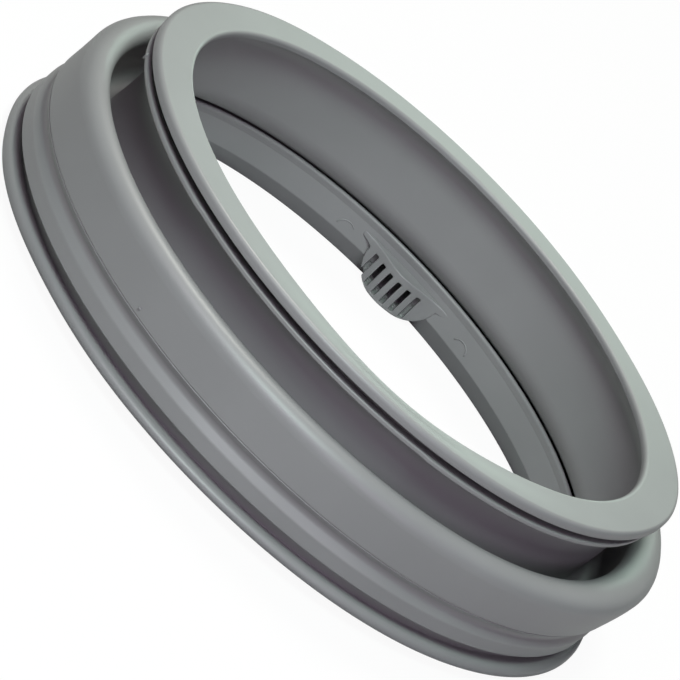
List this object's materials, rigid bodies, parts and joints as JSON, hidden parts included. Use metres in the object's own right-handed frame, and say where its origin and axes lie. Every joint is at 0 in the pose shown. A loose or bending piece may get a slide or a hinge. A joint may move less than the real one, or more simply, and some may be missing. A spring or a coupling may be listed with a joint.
{
  "type": "washing machine door seal",
  "caption": "Round moulded rubber bellows with a grooved front ring, a rolled outer rim, a clamp groove at the tub end and a slotted drain scoop on its inner collar.",
  "frame": {"origin": "middle of the bounding box's base: in the plane of the rear end, 0.75 mm to +X from the axis of the rear end, because the soft front leans 4.2 mm to +X", "axes": "+Z along the axis of the seal, from the tub end to the front ring; +Y from the axis towards the drain scoop; +X towards the side that the front leans to"},
  "size_m": [0.3842, 0.3826, 0.09],
  "materials": {
    "rubber": "satin"
  },
  "bodies": {
    "root": {"door_seal": "rubber"}
  },
  "joints": []
}
